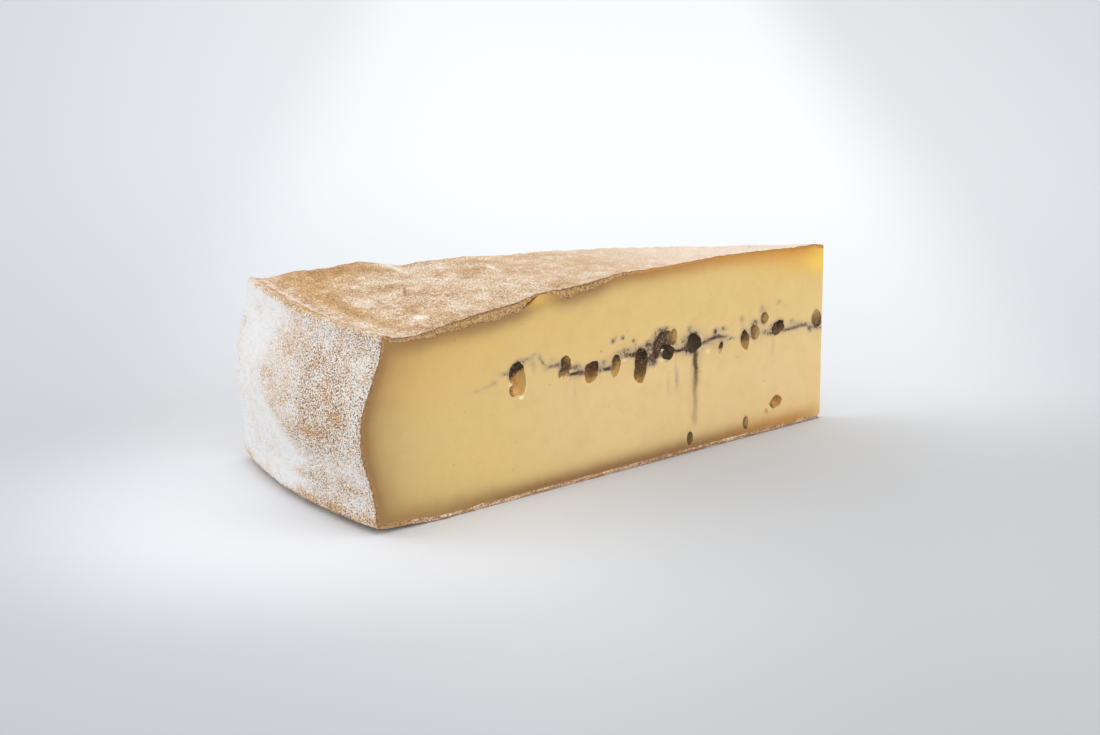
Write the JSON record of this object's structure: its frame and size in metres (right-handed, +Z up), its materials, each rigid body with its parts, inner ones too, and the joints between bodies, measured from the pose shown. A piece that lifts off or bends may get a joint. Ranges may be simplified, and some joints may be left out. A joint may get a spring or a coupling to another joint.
{
  "type": "morbier cheese wedge",
  "caption": "Long wedge cut from a round cheese wheel, with a bulging rind heel, flat cut faces with small eyes, and a thin ash layer at mid height.",
  "frame": {"origin": "on the table under the middle of the wedge's bounding box", "axes": "+X along the wedge's bisector towards its tip, +Z up out of the top rind, so the shown cut face looks towards -Y"},
  "size_m": [0.1878, 0.0944, 0.0605],
  "materials": {
    "cheese": null,
    "ash": null
  },
  "bodies": {
    "root": {"cheese": "cheese", "ash_layer": "ash"}
  },
  "joints": []
}
